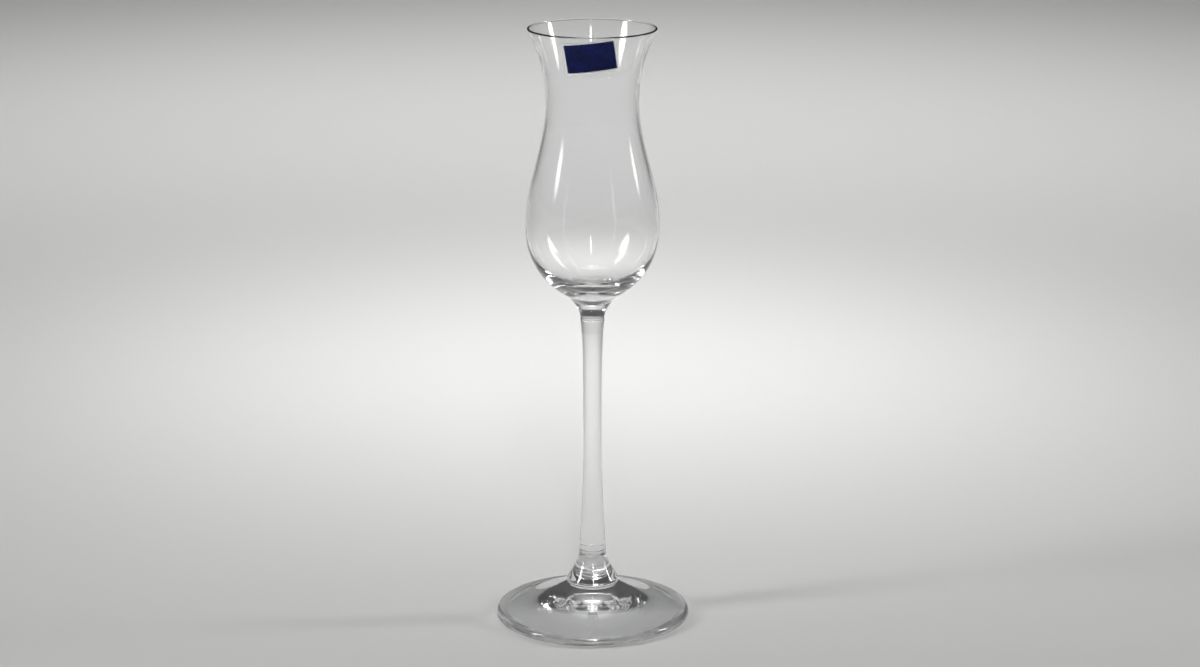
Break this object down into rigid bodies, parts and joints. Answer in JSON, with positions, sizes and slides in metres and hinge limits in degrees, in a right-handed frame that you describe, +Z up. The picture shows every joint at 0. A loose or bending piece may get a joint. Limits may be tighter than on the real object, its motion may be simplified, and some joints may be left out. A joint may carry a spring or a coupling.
{
  "type": "stemmed spirits glass",
  "caption": "Tall stemmed tulip glass for spirits: a small pear-shaped bowl with a drawn-in waist and flared mouth, on a slim solid stem and a domed foot.",
  "frame": {"origin": "centre of the foot's rest ring, on the surface that the glass stands on", "axes": "+Z up along the stem's axis towards the rim, -Y towards the front where the label is, +X to the right seen from the front"},
  "size_m": [0.065, 0.065, 0.2],
  "materials": {
    "clear_glass": "clear colourless fire-polished crystal glass",
    "label": "glossy printed film, deep blue panel with a narrow clear margin"
  },
  "bodies": {
    "root": {"bowl": "clear_glass", "bowl_collar": "clear_glass", "stem": "clear_glass", "foot_collar": "clear_glass", "foot": "clear_glass", "label": "label"}
  },
  "joints": []
}
